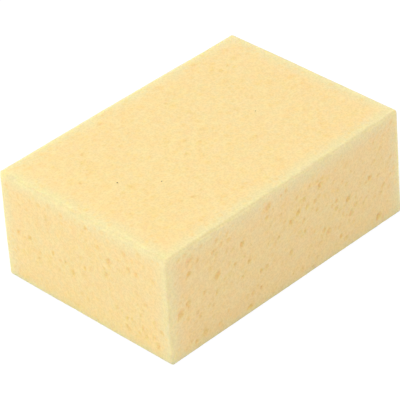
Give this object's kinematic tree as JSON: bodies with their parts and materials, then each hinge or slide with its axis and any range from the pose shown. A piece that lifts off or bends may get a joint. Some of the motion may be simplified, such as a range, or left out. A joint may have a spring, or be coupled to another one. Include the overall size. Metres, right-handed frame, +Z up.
{
  "type": "foam sponge block",
  "caption": "Rectangular block of pale yellow open-cell foam with lightly rounded edges, for wetting, wiping and washing down surfaces.",
  "frame": {"origin": "centre of the bottom face, on the surface that the block rests on", "axes": "+X along the length, +Y across the width, +Z up through the thickness"},
  "size_m": [0.16, 0.11, 0.06],
  "materials": {
    "foam": "matte"
  },
  "bodies": {
    "root": {"sponge_block": "foam"}
  },
  "joints": []
}
